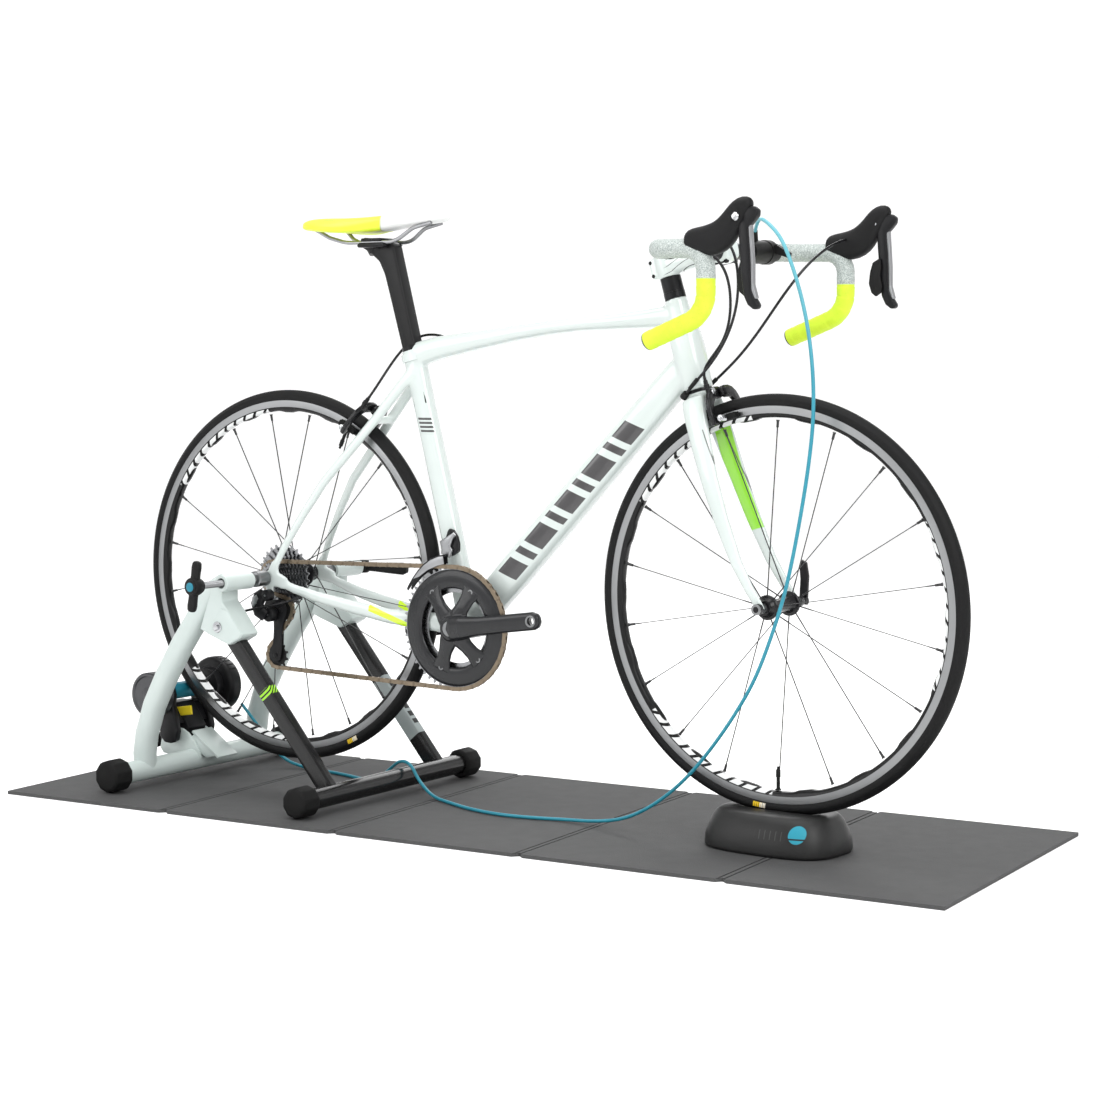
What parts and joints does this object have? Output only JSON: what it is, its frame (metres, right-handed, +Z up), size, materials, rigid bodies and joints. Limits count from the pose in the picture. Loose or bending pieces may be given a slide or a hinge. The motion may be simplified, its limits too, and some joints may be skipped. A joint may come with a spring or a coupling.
{
  "type": "bicycle on an indoor training stand",
  "caption": "Racing bicycle held by its rear axle in a folding roller trainer, front wheel in a riser block, on a folding mat.",
  "frame": {"origin": "on the mat's underside, in the bicycle's middle plane, under the rear axle", "axes": "+X forward along the bicycle, +Y to the rider's left, +Z up"},
  "size_m": [1.8224, 0.718, 1.0373],
  "materials": {
    "alloy": "satin",
    "black_alloy": "satin black anodised",
    "black_plastic": "moulded",
    "chain_steel": "bronze-grey, lightly oiled",
    "cog_steel": "satin",
    "cord_jacket": "turquoise jacket",
    "cover_plastic": "black with a light orange-peel texture",
    "fork_paint": "glossy white paint with a black crown",
    "frame_paint": "glossy white paint with thin dark lines",
    "hood_rubber": "soft matt black",
    "housing_jacket": "black cable housing",
    "mat_foam": "dark grey closed-cell foam, finely pebbled",
    "polished_alloy": "polished",
    "rim_black": "black with a machined brake track",
    "riser_plastic": "moulded, fine spark texture",
    "roller_finish": "teal anodised",
    "rubber": "matt black",
    "saddle_cover": "smooth cover, white nose and neon yellow tail",
    "spoke_steel": "bright stainless",
    "stand_black": "glossy black paint",
    "stand_paint": "white powder coat with a fine texture",
    "steel": "zinc plated and brushed",
    "tape": "wound bar tape, speckled grey with a neon green lower part",
    "tyre_rubber": "matt black"
  },
  "bodies": {
    "stand_and_frame": {"folding_mat": "mat_foam", "rear_leg_frame": "stand_paint", "front_leg_frame": "stand_black", "axle_brackets": "stand_paint", "foot_caps": "rubber", "cam_clamp_cup": "black_plastic", "head_tube": "frame_paint", "bearing_shells_and_collar": "black_alloy", "seat_tube": "frame_paint", "down_tube": "frame_paint", "top_tube": "frame_paint", "chainstays_and_dropouts": "frame_paint", "seatstays_and_bridge": "frame_paint", "rear_axle": "steel", "derailleur_bodies": "black_alloy", "chain": "chain_steel", "remote_cable": "cord_jacket", "control_cables": "housing_jacket"},
    "fork_and_bars": {"fork": "fork_paint", "stem": "frame_paint", "stem_fittings": "black_alloy", "handlebar": "black_alloy", "bar_tape": "tape", "brake_hoods": "hood_rubber", "remote_shifter_body": "black_plastic", "front_axle": "steel"},
    "front_wheel": {"front_tyre": "tyre_rubber", "front_rim": "rim_black", "front_spokes": "spoke_steel", "front_hub": "polished_alloy"},
    "rear_wheel": {"rear_tyre": "tyre_rubber", "rear_rim": "rim_black", "rear_spokes": "spoke_steel", "rear_hub": "polished_alloy"},
    "cassette": {"cassette": "cog_steel"},
    "crankset": {"chainrings": "black_alloy", "cranks_and_spider": "black_alloy"},
    "guide_pulley": {"guide_pulley": "black_plastic"},
    "tension_pulley": {"tension_pulley": "black_plastic"},
    "rear_derailleur_cage": {"derailleur_cage": "black_alloy"},
    "front_derailleur_cage": {"front_derailleur_cage": "cog_steel"},
    "resistance_unit": {"resistance_housing": "cover_plastic"},
    "drive_roller": {"drive_roller": "roller_finish"},
    "tension_knob": {"tension_knob": "black_plastic"},
    "screw_cup": {"screw_clamp_cup": "black_plastic"},
    "screw_handle": {"screw_clamp_handle": "black_plastic"},
    "cam_lever": {"cam_clamp_lever": "black_plastic"},
    "riser": {"riser_block": "riser_plastic"},
    "saddle_and_post": {"seatpost": "black_alloy", "saddle": "saddle_cover"},
    "left_brake_lever": {"left_brake_lever": "alloy"},
    "right_brake_lever": {"right_brake_lever": "alloy"},
    "left_shift_paddle": {"left_shift_paddle": "black_plastic"},
    "right_shift_paddle": {"right_shift_paddle": "black_plastic"},
    "front_brake_left": {"front_brake_left_arm": "black_alloy"},
    "front_brake_right": {"front_brake_right_arm": "black_alloy"},
    "rear_brake_left": {"rear_brake_left_arm": "black_alloy"},
    "rear_brake_right": {"rear_brake_right_arm": "black_alloy"},
    "front_release_lever": {"front_release_lever": "black_alloy"},
    "remote_lever": {"remote_shifter_lever": "black_plastic"}
  },
  "joints": [
    {"name": "steering", "type": "hinge", "parent": "stand_and_frame", "child": "fork_and_bars", "pos_m": [0.9589, 0, 0.38307], "axis": [-0.2874, 0, 0.9578], "range_deg": [-8, 8], "deforming": ["control_cables", "remote_cable"]},
    {"name": "riser_turn", "type": "hinge", "parent": "stand_and_frame", "child": "riser", "pos_m": [1.07202, 0, 0.006], "axis": [0, 0, 1], "range_deg": [-8, 8]},
    {"name": "front_wheel_spin", "type": "hinge", "parent": "fork_and_bars", "child": "front_wheel", "pos_m": [1.00194, -0.00243, 0.39598], "axis": [0.0518, 0.9985, 0.0155], "continuous": true},
    {"name": "rear_wheel_spin", "type": "hinge", "parent": "stand_and_frame", "child": "rear_wheel", "pos_m": [0, 0, 0.392], "axis": [0, 1, 0], "continuous": true},
    {"name": "roller_spin", "type": "hinge", "parent": "resistance_unit", "child": "drive_roller", "pos_m": [-0.26551, 0, 0.1612], "axis": [0, 1, 0], "continuous": true},
    {"name": "crank_spin", "type": "hinge", "parent": "stand_and_frame", "child": "crankset", "pos_m": [0.4006, 0, 0.3253], "axis": [0, 1, 0], "continuous": true, "deforming": ["chain"]},
    {"name": "cassette_spin", "type": "hinge", "parent": "stand_and_frame", "child": "cassette", "pos_m": [0, 0, 0.392], "axis": [0, 1, 0], "continuous": true},
    {"name": "guide_pulley_spin", "type": "hinge", "parent": "rear_derailleur_cage", "child": "guide_pulley", "pos_m": [0.02, 0, 0.334], "axis": [0, 1, 0], "continuous": true},
    {"name": "tension_pulley_spin", "type": "hinge", "parent": "rear_derailleur_cage", "child": "tension_pulley", "pos_m": [0.006, 0, 0.251], "axis": [0, 1, 0], "continuous": true},
    {"name": "derailleur_cage_swing", "type": "hinge", "parent": "stand_and_frame", "child": "rear_derailleur_cage", "pos_m": [0.004, 0, 0.326], "axis": [0, 1, 0], "range_deg": [0, 25], "stiffness_Nm_per_rad": 0.4, "springref_deg": -57.3, "deforming": ["chain"]},
    {"name": "front_shift", "type": "slide", "parent": "stand_and_frame", "child": "front_derailleur_cage", "axis": [0, 1, 0], "range_m": [0, 0.003], "stiffness_N_per_m": 400, "springref_m": -0.01, "deforming": ["chain"]},
    {"name": "unit_swing", "type": "hinge", "parent": "stand_and_frame", "child": "resistance_unit", "pos_m": [-0.258, 0, 0.08], "axis": [0, 1, 0], "range_deg": [-12, 0], "deforming": ["remote_cable"]},
    {"name": "knob_turn", "type": "hinge", "parent": "resistance_unit", "child": "tension_knob", "pos_m": [-0.326, 0, 0.061], "axis": [-0.9682, 0, -0.2501], "continuous": true},
    {"name": "cup_slide", "type": "slide", "parent": "stand_and_frame", "child": "screw_cup", "axis": [0, -1, 0], "range_m": [0, 0.012]},
    {"name": "handle_turn", "type": "hinge", "parent": "screw_cup", "child": "screw_handle", "pos_m": [0, -0.255, 0.392], "axis": [0, -1, 0], "range_deg": [0, 720]},
    {"name": "cam_swing", "type": "hinge", "parent": "stand_and_frame", "child": "cam_lever", "pos_m": [0, 0.207, 0.392], "axis": [0, 0, 1], "range_deg": [0, 100]},
    {"name": "saddle_height", "type": "slide", "parent": "stand_and_frame", "child": "saddle_and_post", "axis": [-0.2487, 0, 0.9686], "range_m": [-0.06, 0.04]},
    {"name": "left_lever_pull", "type": "hinge", "parent": "fork_and_bars", "child": "left_brake_lever", "pos_m": [1.07449, 0.19466, 1.00315], "axis": [0.0518, 0.9985, 0.0155], "range_deg": [0, 18], "stiffness_Nm_per_rad": 0.8, "springref_deg": -20.05},
    {"name": "right_lever_pull", "type": "hinge", "parent": "fork_and_bars", "child": "right_brake_lever", "pos_m": [1.05273, -0.22472, 0.99662], "axis": [0.0518, 0.9985, 0.0155], "range_deg": [0, 18], "stiffness_Nm_per_rad": 0.8, "springref_deg": -20.05},
    {"name": "left_paddle_push", "type": "hinge", "parent": "left_brake_lever", "child": "left_shift_paddle", "pos_m": [1.0639, 0.18399, 0.95197], "axis": [-0.9987, 0.0518, 0.0004], "range_deg": [0, 14], "stiffness_Nm_per_rad": 0.05, "springref_deg": -17.19},
    {"name": "right_paddle_push", "type": "hinge", "parent": "right_brake_lever", "child": "right_shift_paddle", "pos_m": [1.04339, -0.21143, 0.94582], "axis": [0.9987, -0.0518, -0.0004], "range_deg": [0, 14], "stiffness_Nm_per_rad": 0.05, "springref_deg": -17.19},
    {"name": "front_brake_left_close", "type": "hinge", "parent": "fork_and_bars", "child": "front_brake_left", "pos_m": [0.89093, -0.00189, 0.73122], "axis": [0.9564, -0.0541, 0.2869], "range_deg": [0, 1.6], "stiffness_Nm_per_rad": 2, "springref_deg": -5.73},
    {"name": "front_brake_right_close", "type": "hinge", "parent": "fork_and_bars", "child": "front_brake_right", "pos_m": [0.89093, -0.00189, 0.73122], "axis": [-0.9564, 0.0541, -0.2869], "range_deg": [0, 1.6], "stiffness_Nm_per_rad": 2, "springref_deg": -5.73},
    {"name": "rear_brake_left_close", "type": "hinge", "parent": "stand_and_frame", "child": "rear_brake_left", "pos_m": [0.211, 0, 0.677], "axis": [-0.7431, 0, 0.6691], "range_deg": [-1.4, 0], "stiffness_Nm_per_rad": 2, "springref_deg": 5.73},
    {"name": "rear_brake_right_close", "type": "hinge", "parent": "stand_and_frame", "child": "rear_brake_right", "pos_m": [0.211, 0, 0.677], "axis": [-0.7431, 0, 0.6691], "range_deg": [0, 1.4], "stiffness_Nm_per_rad": 2, "springref_deg": -5.73},
    {"name": "front_release_swing", "type": "hinge", "parent": "fork_and_bars", "child": "front_release_lever", "pos_m": [1.0058, 0.07196, 0.39714], "axis": [0.9987, -0.0518, -0.0004], "range_deg": [-100, 0]},
    {"name": "remote_click", "type": "hinge", "parent": "fork_and_bars", "child": "remote_lever", "pos_m": [0.90469, 0.12604, 0.95901], "axis": [0.0518, 0.9985, 0.0155], "range_deg": [-30, 30]}
  ],
  "couplings": [
    {"joint": "riser_turn", "follows": "steering", "ratio": 0.95782},
    {"joint": "roller_spin", "follows": "rear_wheel_spin", "ratio": -21.677},
    {"joint": "cassette_spin", "follows": "crank_spin", "ratio": 3.7143},
    {"joint": "guide_pulley_spin", "follows": "crank_spin", "ratio": -4.7273},
    {"joint": "tension_pulley_spin", "follows": "crank_spin", "ratio": 4.7273},
    {"joint": "handle_turn", "follows": "cup_slide", "rad_per_m": 1047.2},
    {"joint": "front_brake_left_close", "follows": "left_lever_pull", "ratio": 0.088889},
    {"joint": "front_brake_right_close", "follows": "left_lever_pull", "ratio": 0.088889},
    {"joint": "rear_brake_left_close", "follows": "right_lever_pull", "ratio": -0.077778},
    {"joint": "rear_brake_right_close", "follows": "right_lever_pull", "ratio": 0.077778}
  ]
}
